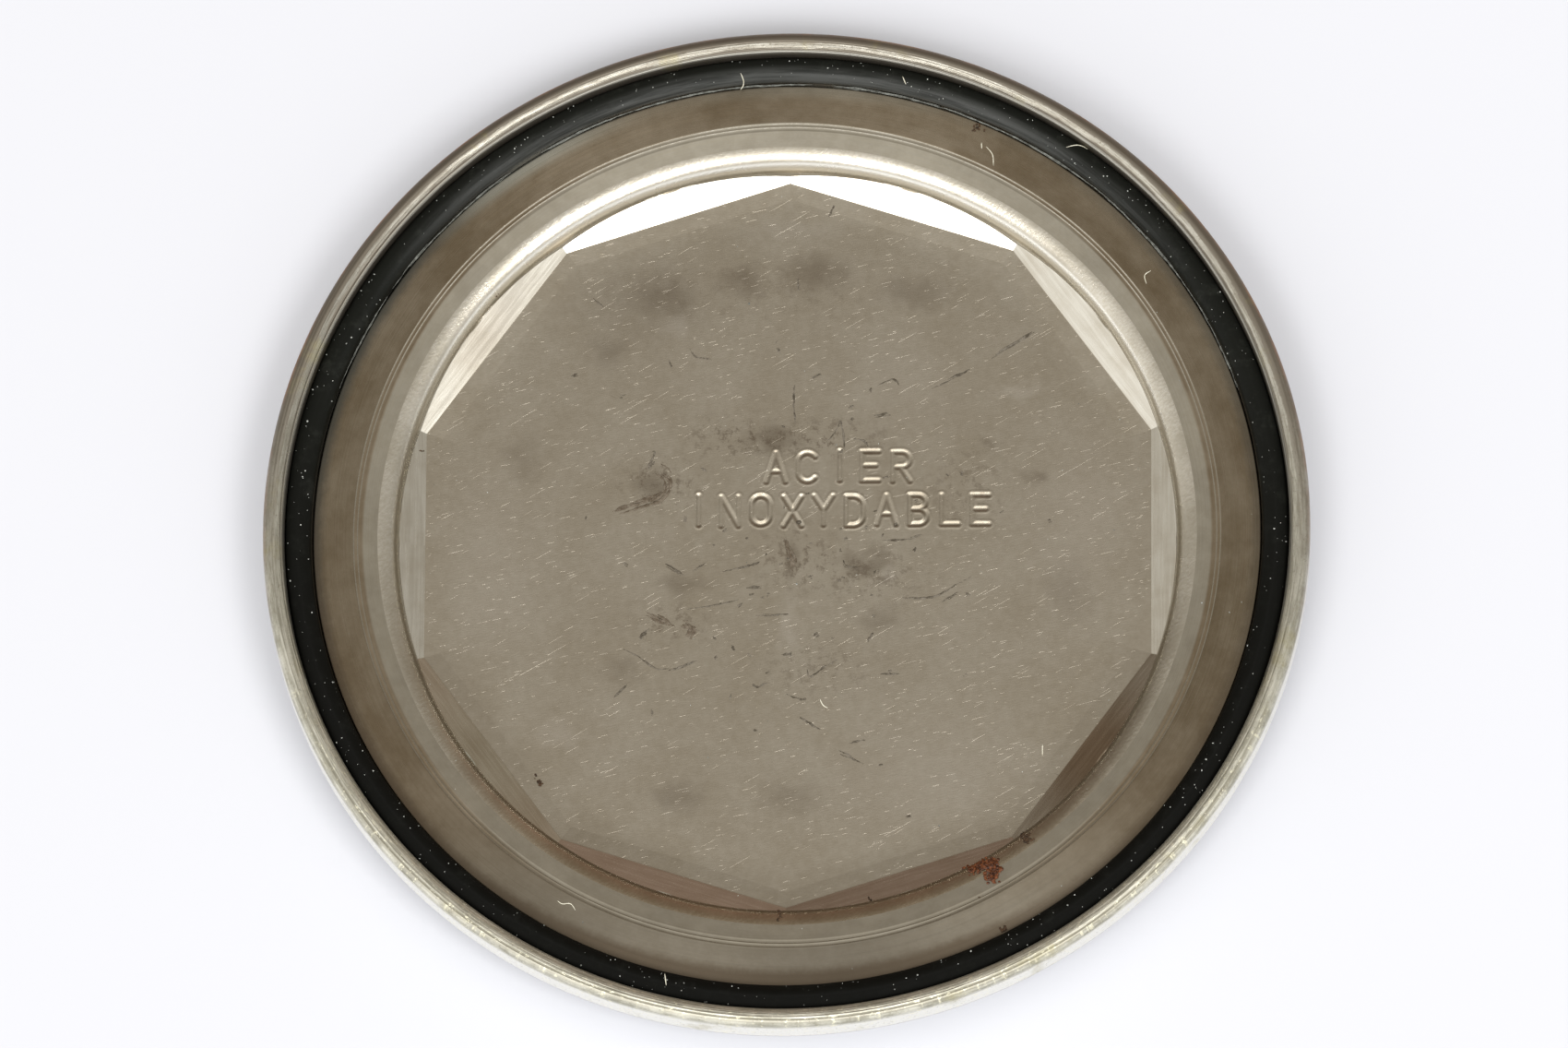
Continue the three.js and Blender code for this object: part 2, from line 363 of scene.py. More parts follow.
def turned_steel(name, roughness, anisotropic):
    """A face turned on a lathe: fine rings that spread the light across them, and tarnish.

    The tarnish covers the land out to the gasket, and next to the gasket it darkens, partly with
    residue and partly with painted shade and a painted reflection of the black rubber.
    """
    face = Shader(name)
    rings = face.noise(detail=3, roughness=0.75, on=face.turned(22, 0.9))
    clouds = face.noise(detail=5, roughness=0.65, on=face.turned(0.7, 5))
    thick = face.band(clouds, 0.3, 0.7)
    tarnished = face.blend(thick, (0.19, 0.147, 0.095), (0.275, 0.228, 0.165))
    greyer = face.band(face.y, -13, -8, 0.8, 0)
    tarnished = face.blend(greyer, tarnished, (0.222, 0.202, 0.162))
    across = face.math("ABSOLUTE", face.times(face.y, 1 / OUTER_RADIUS))
    inner_edge = face.times(face.math("POWER", across, 4), -0.66)
    covered = face.band(face.math("ADD", face.radius, inner_edge), 12.93, 13.03)
    face.colour = face.blend(thick, (0.305, 0.277, 0.222), (0.361, 0.329, 0.264))
    face.cover(tarnished, covered)
    face.tint((0.92, 0.91, 0.89), face.band(rings, 0.4, 0.7))
    mottle = face.noise(1.7, detail=7, roughness=0.75)
    face.tint((0.9, 0.89, 0.87), face.band(mottle, 0.35, 0.65))
    # Next to the gasket the land darkens: partly residue, partly painted shade and a painted reflection
    # of the black gasket, in two tones for the near and far sides.
    wobble = face.times(face.noise(4, detail=5, roughness=0.7), 0.24)
    wobble = face.math("ADD", wobble, face.band(face.y, -14, -10, 0.24, 0))
    by_gasket = face.band(face.math("ADD", face.radius, wobble), 14.16, 14.56, 0, 0.8)
    left_side = face.band(face.x, 5, 12, 1, 0.6)
    near_side = face.band(face.y, 8, 12.5, 1, 0.15)
    far_side = face.band(face.y, -6, 5)
    residue_and_shade = face.blend(far_side, (0.1, 0.075, 0.05), (0.075, 0.078, 0.07))
    face.cover(residue_and_shade, by_gasket, left_side, near_side)
    haze = face.patches(LAND_HAZE)
    face.cover((0.4, 0.405, 0.35), haze, face.band(face.radius, 13.95, 14.35))
    duller = face.band(face.y, -12, 0, 0.06, 0)
    ringed = face.band(rings, 0.3, 0.7, roughness - 0.03, roughness + 0.05)
    tangent = face.add("ShaderNodeTangent", direction_type="RADIAL", axis="Z")
    return face.metal(
        face.math("ADD", duller, ringed), rings, 0.0015, 0.4,
        Anisotropic=anisotropic,
        Anisotropic_Rotation=0.25,
        Tangent=tangent.outputs[0],
    )


def lip_steel():
    """The worn lip: turned ridges, scuffs along it, grit, and tarnish and rust on its far side, with
    painted shade, highlights and glow laid into its colour.
    """
    lip = Shader("lip_steel")
    radius = lip.radius
    ridges = lip.noise(detail=2, roughness=0.6, on=lip.turned(9, 0.35))
    scuffs = lip.noise(detail=5, roughness=0.75, on=lip.turned(11, 14))
    grit = lip.band(lip.noise(11, detail=5, roughness=0.8), 0.56, 0.66)
    nicks_and_glints = lip.noise(detail=3, roughness=0.7, on=lip.turned(14, 80))
    blotches = lip.noise(0.45, detail=5, roughness=0.65)
    far_side = lip.band(lip.y, -6, 8)
    near_side = lip.band(lip.y, -9, -2, 1, 0)
    scuffed = lip.band(scuffs, 0.35, 0.68)
    rubbed = lip.blend(scuffed, (0.34, 0.325, 0.26), (0.68, 0.66, 0.565))
    dulled = lip.blend(scuffed, (0.28, 0.255, 0.205), (0.47, 0.445, 0.38))
    # Painted shade: the far side is darker towards the left, damping a highlight there.
    dulled = lip.vector("SCALE", dulled, lip.band(lip.x, -8, 0, 0.72, 1))
    lip.colour = lip.blend(far_side, rubbed, dulled)
    # Painted glow: the outer wall below the crest is made near white, standing in for light it takes
    # from the pale table.
    low = lip.band(lip.z, 2.1, 2.33, 0.9, 0)
    lip.cover((0.86, 0.85, 0.81), lip.band(radius, 15.8, 15.9), low)
    # Dark colour between the ridges on the near side, laid to damp the highlight there: partly grime,
    # partly painted shade.
    ridged = lip.band(ridges, 0.45, 0.6)
    grime_and_shade_between_ridges = lip.blend(ridged, (0.2, 0.185, 0.14), (0.38, 0.36, 0.295))
    shoulder = lip.window(radius, (15.72, 15.8), (15.87, 15.93), 0.9)
    lip.cover(grime_and_shade_between_ridges, shoulder, near_side)
    lip.cover((0.15, 0.12, 0.085), grit, lip.band(far_side, 0, 1, 0.45, 0.75))
    # Bright nicks on the near side only: partly wear, partly painted glints.
    lip.cover((0.88, 0.84, 0.64), lip.band(nicks_and_glints, 0.56, 0.66), near_side, 0.6)
    # On the far side the lip is dark except along a band: partly tarnish, partly painted shade that
    # narrows the highlight.
    wandering = lip.math("ADD", radius, lip.band(blotches, 0.3, 0.7, -0.05, 0.05))
    polished = lip.window(wandering, (15.46, 15.52), (15.6, 15.66))
    unpolished_and_shaded = lip.times(lip.math("SUBTRACT", 1, polished), far_side)
    lip.cover((0.185, 0.16, 0.125), unpolished_and_shaded, 0.92)
    # Painted highlight: a thin pale line along the inner edge on the far side.
    inner_edge = lip.window(radius, (15.365, 15.39), (15.41, 15.45), 0.45)
    lip.cover((0.92, 0.91, 0.82), inner_edge, far_side)
    outermost = lip.band(radius, 15.86, 15.97)
    high = lip.band(lip.z, 2, 2.25, 0.3, 1)
    rusty = lip.band(blotches, 0.4, 0.62)
    lip.cover((0.3, 0.15, 0.08), outermost, high, far_side, rusty, 0.8)
    lip.cover((0.36, 0.32, 0.16), lip.band(blotches, 0.54, 0.7, 0, 0.45))
    unevenly_dull = lip.times(lip.math("MAXIMUM", unpolished_and_shaded, near_side), 0.16)
    roughness = lip.math("ADD", unevenly_dull, lip.band(scuffs, 0.3, 0.7, 0.42, 0.32))
    depth = lip.math("ADD", lip.band(ridges, 0.38, 0.62), lip.times(scuffs, 0.5))
    return lip.metal(roughness, depth, 0.012, 1)


def outside_steel():
    """The outer side: brushed in one direction and scratched by wear."""
    side = Shader("outside_steel")
    brush = side.noise(14, detail=4, roughness=0.7, on=side.stretched(8, 30))
    wear = side.math(
        "MAXIMUM", scratches(side, 40, 3, 0.05, 0.1), scratches(side, -63, 2.4, 0.045, 0.1)
    )
    brushed = side.band(brush, 0.3, 0.7)
    side.colour = side.blend(brushed, (0.58, 0.56, 0.52), (0.69, 0.67, 0.63))
    side.cover((0.78, 0.76, 0.71), wear, 0.5)
    roughness = side.band(brush, 0.3, 0.7, 0.26, 0.36)
    return side.metal(roughness, side.math("SUBTRACT", brush, wear), 0.004, 0.5)


def gasket_rubber():
    """Dull black rubber, darker on the near side with painted shade, and a grey film thickest on the
    inner half of the far side, partly dust and partly a painted sheen.
    """
    ring = Shader("gasket_rubber")
    patches = ring.noise(1.4, detail=6, roughness=0.7)
    grain = ring.noise(14, detail=4, roughness=0.65)
    streaks = ring.noise(detail=4, roughness=0.7, on=ring.turned(4, 4))
    greyed = ring.band(patches, 0.5, 0.8)
    ring.colour = ring.blend(greyed, (0.0058, 0.0062, 0.0046), (0.019, 0.02, 0.016))
    # Painted shade: the rubber is darker on the near side.
    ring.cover((0.0018, 0.0016, 0.0012), ring.band(ring.y, -4, 8, 0.7, 0))
    # A grey film on the inner half of the far side: partly dust, partly a painted sheen where the light
    # falls on the rubber.
    far_side = ring.band(ring.y, 7, 14.5)
    inner_half = ring.band(ring.radius, 14.68, 15.08, 1, 0)
    streaky = ring.band(streaks, 0.35, 0.6, 0.3, 1)
    ring.cover((0.05, 0.051, 0.047), far_side, inner_half, streaky)
    outer_half = ring.band(ring.radius, 14.85, 15.05)
    duller_outside = ring.band(outer_half, 0, 1, 0.34, 0.72)
    return ring.finished(
        ring.math("ADD", duller_outside, ring.band(patches, 0.35, 0.7, 0, 0.14)),
        Specular_IOR_Level=0.08,
        Normal=ring.bump(grain, 0.01, 0.6),
    )


def dirt_material(name, first, second, scale, roughness=0.85):
    """Dirt that varies between two colours."""
    dirt = Shader(name)
    spots = dirt.noise(scale, detail=4, roughness=0.7)
    dirt.colour = dirt.blend(dirt.band(spots, 0.35, 0.65), first, second)
    return dirt.finished(
        dirt.band(spots, 0.3, 0.7, roughness - 0.05, roughness + 0.08),
        Specular_IOR_Level=0.2,
        Normal=dirt.bump(spots, 0.01, 0.6),
    )


# A rounded corner of an outline has a point about every ARC_STEP. A straight run next to one has a
# point this far from each of its ends, or this share of its length if that is less, which keeps
# the shading of flat faces even up to their edges.
ARC_STEP = 0.06
EDGE_HOLD = 0.03
EDGE_SHARE = 0.2


def corner_arc(before, corner, after, rounding):
    """Points of the arc that rounds a corner, or the corner itself if it is sharp."""
    if not rounding:
        return [corner]
    back = (before - corner).normalized()
    onward = (after - corner).normalized()
    half_opening = back.angle(onward) / 2
    reach = rounding / math.tan(half_opening)
    centre = corner + (back + onward).normalized() * (rounding / math.sin(half_opening))
    first = corner + back * reach - centre
    sweep = first.angle_signed(corner + onward * reach - centre)
    steps = max(2, round(rounding / ARC_STEP))
    arc = []
    for step in range(steps):
        spoke = first.copy()
        spoke.rotate(Matrix.Rotation(-sweep * step / steps, 2))
        arc.append(centre + spoke)
    return [*arc, corner + onward * reach]


def rounded_outline(corners):
    """Points (radius, height, zone) of an outline with straight runs and rounded corners.

    A corner is (radius, height, rounding, zone), with one more zone if that of the run after it
    is another.
    """
    places = [Vector(corner[:2]) for corner in corners]
    befores = places[:1] + places
    afters = places[1:] + places[-1:]
    arcs = [
        corner_arc(before, place, after, corner[2])
        for before, place, after, corner in zip(befores, places, afters, corners)
    ]
    points = []
    for index, (_, _, rounding, *zones) in enumerate(corners):
        points += [(*point, zones[0]) for point in arcs[index][:-1]]
        leave = arcs[index][-1]
        points.append((*leave, zones[-1]))
        if index + 1 < len(corners) and (rounding or corners[index + 1][2]):
            arrive = arcs[index + 1][0]
            near = min(EDGE_HOLD / (arrive - leave).length, EDGE_SHARE)
            points += [(*leave.lerp(arrive, share), zones[-1]) for share in (near, 1 - near)]
    return points


def back_outline(angle):
    """The back's outline at an angle, from the floor over the lip to the boss's face."""
    off_side_middle = (angle + SIDE_ANGLE / 2) % SIDE_ANGLE - SIDE_ANGLE / 2
    lean = math.cos(off_side_middle)
    floor_edge = FLOOR_INRADIUS / lean
    fold = floor_edge + FLOOR_RISE / math.tan(FACET_SLOPE)
    facet_top = FLOOR + (RECESS_RADIUS * lean - FLOOR_INRADIUS) * math.tan(FACET_SLOPE)
    ledge_foot = LAND - LEDGE_DROP
    roll_top = ledge_foot - SHOULDER_WIDTH * math.tan(SHOULDER_SLOPE)
    key_foot = KEY_FLAT_INRADIUS / lean
    key_top = (BOSS_RADIUS * lean - KEY_FLAT_INRADIUS) * math.tan(KEY_FLAT_SLOPE)
    corners = [
        (FLOOR_INRADIUS - FLOOR_MARGIN, FLOOR, 0, "floor"),
        (floor_edge - FLOOR_RISE_WIDTH, FLOOR, 0, "floor"),
        (fold, FLOOR + FLOOR_RISE, 0.03, "floor", "facet"),
        (RECESS_RADIUS, facet_top, 0.02, "facet", "roll"),
        (RECESS_RADIUS, FLOOR + ROLL_FOOT, 0, "roll"),
        (SHOULDER_RADIUS - SHOULDER_WIDTH, roll_top, ROLL_RADIUS, "roll"),
        (SHOULDER_RADIUS, ledge_foot, SHOULDER_ROUNDING, "roll", "ledge"),
    ]
    for groove, zone in zip(GROOVE_RADII, ("ledge", "land")):
        corners += [
            (groove - GROOVE_INNER_WIDTH, LAND, 0, "ledge"),
            (groove, LAND - GROOVE_DEPTH, 0, "roll"),
            (groove + GROOVE_OUTER_WIDTH, LAND, 0, zone),
        ]
    corners += [
        (SEAT_RADIUS, LAND, SEAT_EDGE_ROUNDING, "land"),
        (SEAT_RADIUS, LAND - SEAT_DEPTH, 0.02, "land"),
        (LIP_INNER_RADIUS, LAND - SEAT_DEPTH, 0.04, "land", "lip"),
        (LIP_INNER_RADIUS, LIP_TOP, LIP_INNER_ROUNDING, "lip"),
        (OUTER_RADIUS, LIP_TOP, LIP_OUTER_ROUNDING, "lip"),
        (OUTER_RADIUS, FLANGE_UNDERSIDE, FLANGE_ROUNDING, "outside"),
        (BOSS_RADIUS, FLANGE_UNDERSIDE, BOSS_FILLET, "outside"),
        (BOSS_RADIUS, key_top, 0.02, "outside"),
        (key_foot, 0, 0.04, "outside"),
        (key_foot - 0.2, 0, 0, "outside"),
    ]
    return rounded_outline(corners)


def height_at(x, y):
    """The height of the inside surface over a place between the floor and the gasket's seat."""
    outline = back_outline(math.atan2(y, x))
    inside = [point for point in outline if point[2] not in ("lip", "outside")]
    inside = [point for point in inside if point[0] < SEAT_RADIUS - SEAT_EDGE_ROUNDING]
    radii, heights, _ = zip(*inside)
    return float(np.interp(math.hypot(x, y), radii, heights))


def column_angles():
    """Angles of the mesh's columns, closer together at the ten corners."""
    plain_steps = 42
    half = SIDE_ANGLE / 2
    offsets = [half * (2 * step / plain_steps - 1) for step in range(plain_steps)]
    for close in (0.06, 0.16, 0.35):
        offsets += [math.radians(close) - half, half - math.radians(close)]
    return sorted(side * SIDE_ANGLE + offset for side in range(SIDES) for offset in offsets)


def bend(x, y, radius, start, end):
    """Points on an arc, by degrees."""
    angles = [math.radians(start + (end - start) * step / 10) for step in range(11)]
    return [(x + radius * math.cos(angle), y + radius * math.sin(angle)) for angle in angles]


# Letters of the stamping as strokes in a box 0.62 wide and 1 high.
LETTER_WIDTH = 0.62
LETTERS = {
    "A": [[(0, 0), (0.31, 1), (0.62, 0)], [(0.12, 0.36), (0.5, 0.36)]],
    "B": [
        [(0.04, 0), (0.04, 1), *bend(0.32, 0.76, 0.24, 90, -90)],
        [(0.04, 0.52), *bend(0.34, 0.26, 0.26, 90, -90), (0.04, 0)],
    ],
    "C": [bend(0.32, 0.69, 0.3, 35, 180) + bend(0.32, 0.31, 0.3, 180, 325)],
    "D": [
        [(0.04, 0), (0.04, 1), *bend(0.26, 0.66, 0.34, 90, 0)]
        + [*bend(0.26, 0.34, 0.34, 0, -90), (0.04, 0)]
    ],
    "E": [[(0.6, 0), (0.04, 0), (0.04, 1), (0.6, 1)], [(0.04, 0.52), (0.5, 0.52)]],
    "I": [[(0.31, 0), (0.31, 1)]],
    "L": [[(0.06, 1), (0.06, 0), (0.6, 0)]],
    "N": [[(0.03, 0), (0.03, 1), (0.59, 0), (0.59, 1)]],
    "O": [bend(0.31, 0.69, 0.3, 0, 180) + bend(0.31, 0.31, 0.3, 180, 360) + [(0.61, 0.69)]],
    "R": [
        [(0.04, 0), (0.04, 1), *bend(0.34, 0.74, 0.26, 90, -90), (0.04, 0.48)],
        [(0.3, 0.48), (0.6, 0)],
    ],
    "X": [[(0.02, 0), (0.6, 1)], [(0.02, 1), (0.6, 0)]],
    "Y": [[(0, 1), (0.31, 0.5), (0.62, 1)], [(0.31, 0.5), (0.31, 0)]],
}

# The generic stamping, French for stainless steel: its lines, the middle of each in plan, and the
# letters' size. Each letter was struck by hand, so it is a little off its place.
STAMPED_LINES = (("ACIER", (1.55, 2.5)), ("INOXYDABLE", (1.55, 1.08)))
LETTER_HEIGHT = 0.94
LETTER_PITCH = 0.96
LETTER_WANDER = 0.03
STROKE_HALF_WIDTH = 0.085
STROKE_WALL = 0.06
STROKE_DEPTH = 0.04
BURR_HEIGHT = 0.011
BURR_PLACE = 0.03
BURR_SPREAD = 0.03
PATCH_MARGIN = 0.3
PATCH_STEP = 0.027


def stamped_strokes():
    """Straight pieces of every stamped letter, each with how deep that letter was struck."""
    draw = random.Random(4)
    pieces = []
    for text, (middle_x, middle_y) in STAMPED_LINES:
        for place, letter in enumerate(text):
            left = middle_x + (place - (len(text) - 1) / 2) * LETTER_PITCH
            left += draw.uniform(-LETTER_WANDER, LETTER_WANDER) - LETTER_WIDTH * LETTER_HEIGHT / 2
            bottom = middle_y - LETTER_HEIGHT / 2 + draw.uniform(-LETTER_WANDER, LETTER_WANDER)
            struck = draw.uniform(0.55, 1)
            for stroke in LETTERS[letter]:
                ends = [(left + x * LETTER_HEIGHT, bottom + y * LETTER_HEIGHT) for x, y in stroke]
                pieces += [(*a, *b, struck) for a, b in zip(ends, ends[1:])]
    return pieces


def stamped_depth(points):
    """How far each of some plan points lies below (or above) the floor because of the letters."""
    nearest = np.full(len(points), np.inf)
    struck_here = np.ones(len(points))
    for ax, ay, bx, by, struck in stamped_strokes():
        along = np.array((bx - ax, by - ay))
        start = np.array((ax, ay))
        share = np.clip((points - start) @ along / (along @ along), 0, 1)
        away = np.linalg.norm(points - start - share[:, None] * along, axis=1)
        struck_here = np.where(away < nearest, struck, struck_here)
        nearest = np.minimum(away, nearest)
    wall = np.clip((STROKE_HALF_WIDTH - nearest) / STROKE_WALL, 0, 1)
    sunk = STROKE_DEPTH * wall * wall * (3 - 2 * wall)
    past_wall = nearest - STROKE_HALF_WIDTH
    burr = BURR_HEIGHT * np.exp(-(((past_wall - BURR_PLACE) / BURR_SPREAD) ** 2))
    return struck_here * (sunk - burr * np.clip(past_wall / BURR_PLACE, 0, 1))


def floor_patch():
    """The fine grid under the letters: its plan points row by row, and its shape."""
    longest = max(len(text) for text, _ in STAMPED_LINES)
    middle_x = STAMPED_LINES[0][1][0]
    half_width = longest * LETTER_PITCH / 2 + PATCH_MARGIN
    top = STAMPED_LINES[0][1][1] + LETTER_HEIGHT / 2 + PATCH_MARGIN
    bottom = STAMPED_LINES[-1][1][1] - LETTER_HEIGHT / 2 - PATCH_MARGIN
    columns = round(2 * half_width / PATCH_STEP) + 1
    rows = round((top - bottom) / PATCH_STEP) + 1
    x, y = np.meshgrid(
        np.linspace(middle_x - half_width, middle_x + half_width, columns),
        np.linspace(bottom, top, rows),
    )
    return np.stack((x.ravel(), y.ravel()), axis=1), rows, columns


class Build:
    """Vertices and zoned faces collected in millimetres, and the mesh object made of them."""

    def __init__(self):
        self.points = []
        self.faces = []
        self.zones = []

    def add_points(self, points):
        first = len(self.points)
        self.points += [tuple(point) for point in points]
        return first

    def add_face(self, face, zone=0):
        self.faces.append(face)
        self.zones.append(zone)

    def finish(self, name, materials, smooth=True):
        mesh = bpy.data.meshes.new(name)
        mesh.from_pydata([Vector(point) * MM for point in self.points], [], self.faces)
        for material in materials:
            mesh.materials.append(material)
        mesh.polygons.foreach_set("material_index", self.zones)
        mesh.polygons.foreach_set("use_smooth", [smooth] * len(self.faces))
        mesh.update()
        made = bpy.data.objects.new(name, mesh)
        bpy.context.scene.collection.objects.link(made)
        return made


def fill_floor(build, rim, zone):
    """The flat floor inside a rim of vertices, with the stamped patch let into it."""
    patch, rows, columns = floor_patch()
    heights = FLOOR - stamped_depth(patch)
    first = build.add_points((x, y, z) for (x, y), z in zip(patch, heights))
    grid = first + np.arange(rows * columns).reshape(rows, columns)
    quads = np.stack((grid[:-1, :-1], grid[:-1, 1:], grid[1:, 1:], grid[1:, :-1]), axis=2)
    for quad in quads.reshape(-1, 4).tolist():
        build.add_face(tuple(quad), zone)
    border = [*grid[0], *grid[1:, -1], *grid[-1, -2::-1], *grid[-2:0:-1, 0]]
    known = rim + [int(index) for index in border]
    plan = [Vector(build.points[index][:2]) for index in known]
    loops = [list(range(len(rim))), list(range(len(rim), len(known)))]
    edges = [(loop[k], loop[(k + 1) % len(loop)]) for loop in loops for k in range(len(loop))]
    found, _, faces, _, _, _ = delaunay_2d_cdt(plan, edges, [], 0, 1e-6, False)
    low = patch.min(axis=0)
    high = patch.max(axis=0)
    for face in faces:
        x, y = sum((found[index] for index in face), Vector((0, 0))) / 3
        if not (low[0] < x < high[0] and low[1] < y < high[1]):
            build.add_face(tuple(known[index] for index in face), zone)


def case_back(materials):
    """The whole steel back as one closed mesh: columns of one outline each, and the floor."""
    zones = list(materials)
    build = Build()
    angles = column_angles()
    outlines = [back_outline(angle) for angle in angles]
    height = len(outlines[0])
    for angle, outline in zip(angles, outlines):
        build.add_points((r * math.cos(angle), r * math.sin(angle), z) for r, z, _ in outline)
    for column in range(len(angles)):
        here = column * height
        there = (column + 1) % len(angles) * height
        for row in range(height - 1):
            face = (here + row, here + row + 1, there + row + 1, there + row)
            build.add_face(face, zones.index(outlines[0][row][2]))
    fill_floor(build, [column * height for column in range(len(angles))], zones.index("floor"))
    middle = build.add_points([(0, 0, 0)])
    for column in range(len(angles)):
        here = (column + 1) * height - 1
        there = ((column + 1) % len(angles) + 1) * height - 1
        build.add_face((here, middle, there), zones.index("outside"))
    return build.finish("case_back_steel", materials.values())


def gasket():
    """The rubber ring, a little uneven as old rubber is."""
    build = Build()
    columns = 540
    rows = 28
    unevenness = 0.02
    for column in range(columns):
        angle = 2 * math.pi * column / columns
        for row in range(rows):
            around = 2 * math.pi * row / rows
            place = Vector((math.cos(angle) * 60, math.sin(angle) * 60, around * 3))
            shrink = 1 - unevenness * (1 + noise.noise(place))
            radius = GASKET_MIDDLE_RADIUS + GASKET_WIDTH / 2 * shrink * math.cos(around)
            height = GASKET_MIDDLE_HEIGHT + GASKET_HALF_HEIGHT * shrink * math.sin(around)
            build.add_points([(radius * math.cos(angle), radius * math.sin(angle), height)])
    for column in range(columns):
        here = column * rows
        there = (column + 1) % columns * rows
        for row in range(rows):
            above = (row + 1) % rows
            build.add_face((here + row, there + row, there + above, here + above))
    return build.finish("gasket_ring", [gasket_rubber()])


Z_AXIS = Vector((0, 0, 1))


def astray(draw, spread):
    """A random plan offset."""
    return Vector((draw.gauss(0, spread), draw.gauss(0, spread)))


def smooth_path(points):
    """A curve through some plan points, as a list of plan vectors."""
    steps = 8
    ends = [Vector(points[0]), *map(Vector, points), Vector(points[-1])]
    path = []
    for a, b, c, d in zip(ends, ends[1:], ends[2:], ends[3:]):
        for step in range(steps):
            t = step / steps
            curve = (2 * a - 5 * b + 4 * c - d) * t * t + (3 * b - a - 3 * c + d) * t * t * t
            path.append((2 * b + (c - a) * t + curve) / 2)
    path.append(ends[-1])
    return path


def strand(build, path, half_width, half_height, draw, unevenness):
    """A closed strand of elliptical section along a path, thinner at its ends."""
    sides = 6
    first = len(build.points)
    for index, point in enumerate(path):
        along = (path[min(index + 1, len(path) - 1)] - path[max(index - 1, 0)]).normalized()
        side = along.cross(Z_AXIS).normalized()
        up = side.cross(along)
        taper = max(0.12, math.sin(math.pi * index / (len(path) - 1))) ** 0.5
        swell = taper * (1 + unevenness * draw.uniform(-1, 1))
        for corner in range(sides):
            turn = 2 * math.pi * corner / sides
            offset = side * (half_width * swell * math.cos(turn))
            build.add_points([point + offset + up * (half_height * taper * math.sin(turn))])
    for ring in range(len(path) - 1):
        for corner in range(sides):
            here = first + ring * sides
            onward = (corner + 1) % sides
            build.add_face((here + corner, here + onward, here + sides + onward, here + sides + corner))
    build.add_face(tuple(first + corner for corner in range(sides - 1, -1, -1)))
    last = first + (len(path) - 1) * sides
    build.add_face(tuple(last + corner for corner in range(sides)))


# How high a dark mark on the floor stands, how far it strays from its course, and the courses
# of the thin marks and the broad ones in plan.
MARK_HALF_HEIGHT = 0.006
MARK_STRAY = 0.012
THIN_MARKS = (
    ((-6, 8), (-5.7, 7.7)), ((1.4, 11), (1.2, 10.6)), ((-3.1, 6.4), (-2.9, 6.1), (-2.4, 6)),
    ((-3.7, 6), (-3.6, 5.7)), ((-0.3, 6.6), (-0.4, 6.4), (-0.3, 6.2)), ((0.6, 5.3), (1, 5.5)),
    ((3.8, 4.9), (4.4, 5), (5, 5.3), (5.6, 5.6)), ((6.2, 6), (7.5, 6.8)),
    ((2.7, 5.1), (3.2, 5.3), (3.4, 5.1)), ((2.5, 4.1), (3.1, 4.2)),
    ((0.2, 5.2), (0.15, 4.6), (0.2, 3.9)), ((0.3, 8.6), (0.3, 8.2)),
    ((1, 3.6), (1.2, 3.3), (1.5, 3.7), (1.6, 3.9), (1.7, 3.1)),
    ((1.9, 3.4), (2.3, 3.3), (2.4, 3.1)), ((-4.5, 2.9), (-4.1, 3), (-4.3, 2.5), (-4.1, 2.7)),
    ((5.3, 2.4), (5.3, 2.1)), ((1.7, -0.5), (1.8, -0.7), (2.2, -0.8)),
    ((2.7, -1.4), (3, -1.6), (3.7, -1.75), (4.5, -1.7), (5.2, -1.3), (5.6, -1.1), (5.5, -0.8)),
    ((2.7, 0.1), (3.5, 0.1), (4.1, 0.3)), ((-2.4, -1), (-1.5, -0.8), (-0.9, -0.6)),
    ((-3.1, -2.1), (-2.4, -2), (-1.5, -1.8)), ((-4.5, -3), (-4.2, -2.7)),
    ((-5.8, -3.2), (-5.1, -3.3), (-4.5, -3.6), (-3.9, -4), (-3.2, -3.9), (-2.6, -3.6)),
    ((-5.3, -4.9), (-4.9, -4.5)), ((-1.3, -1.35), (-0.8, -1.4)), ((-1.2, -2.3), (0, -2.3)),
    ((-3.8, -0.6), (-3.2, -1)), ((-2.9, -0.9), (-2.5, -0.6)), ((-0.2, -3.6), (0.1, -3.5)),
    ((0.6, -3.9), (0.7, -4.3), (1.1, -4), (1.6, -3.7)),
    ((-1, -4.5), (-0.9, -4.6), (-0.6, -4.5)), ((-0.1, -4.8), (0.4, -5), (0.6, -5)),
    ((0.4, -5.6), (1, -6)), ((1.9, -6.4), (2.4, -6.3)), ((1.6, -6.7), (2.4, -7.1)),
    ((2.4, -3.2), (2.6, -2.9)), ((2.7, -4.2), (3.4, -4.2)), ((4.7, -1.9), (5.2, -1.6)),
    ((3.6, -8.8), (3.8, -8.75)),
)
BROAD_MARKS = (
    ((-4, 2.4), (-3.7, 2.1), (-3.9, 1.6), (-4.7, 1.3), (-5.3, 1.1)),
    ((-4.3, -2.2), (-3.9, -2.45), (-3.55, -2.6)),
    ((-3.2, -2.6), (-2.9, -2.7), (-3, -3)),
    ((-0.1, 0.1), (0.1, -0.4), (0.2, -0.8)),
)


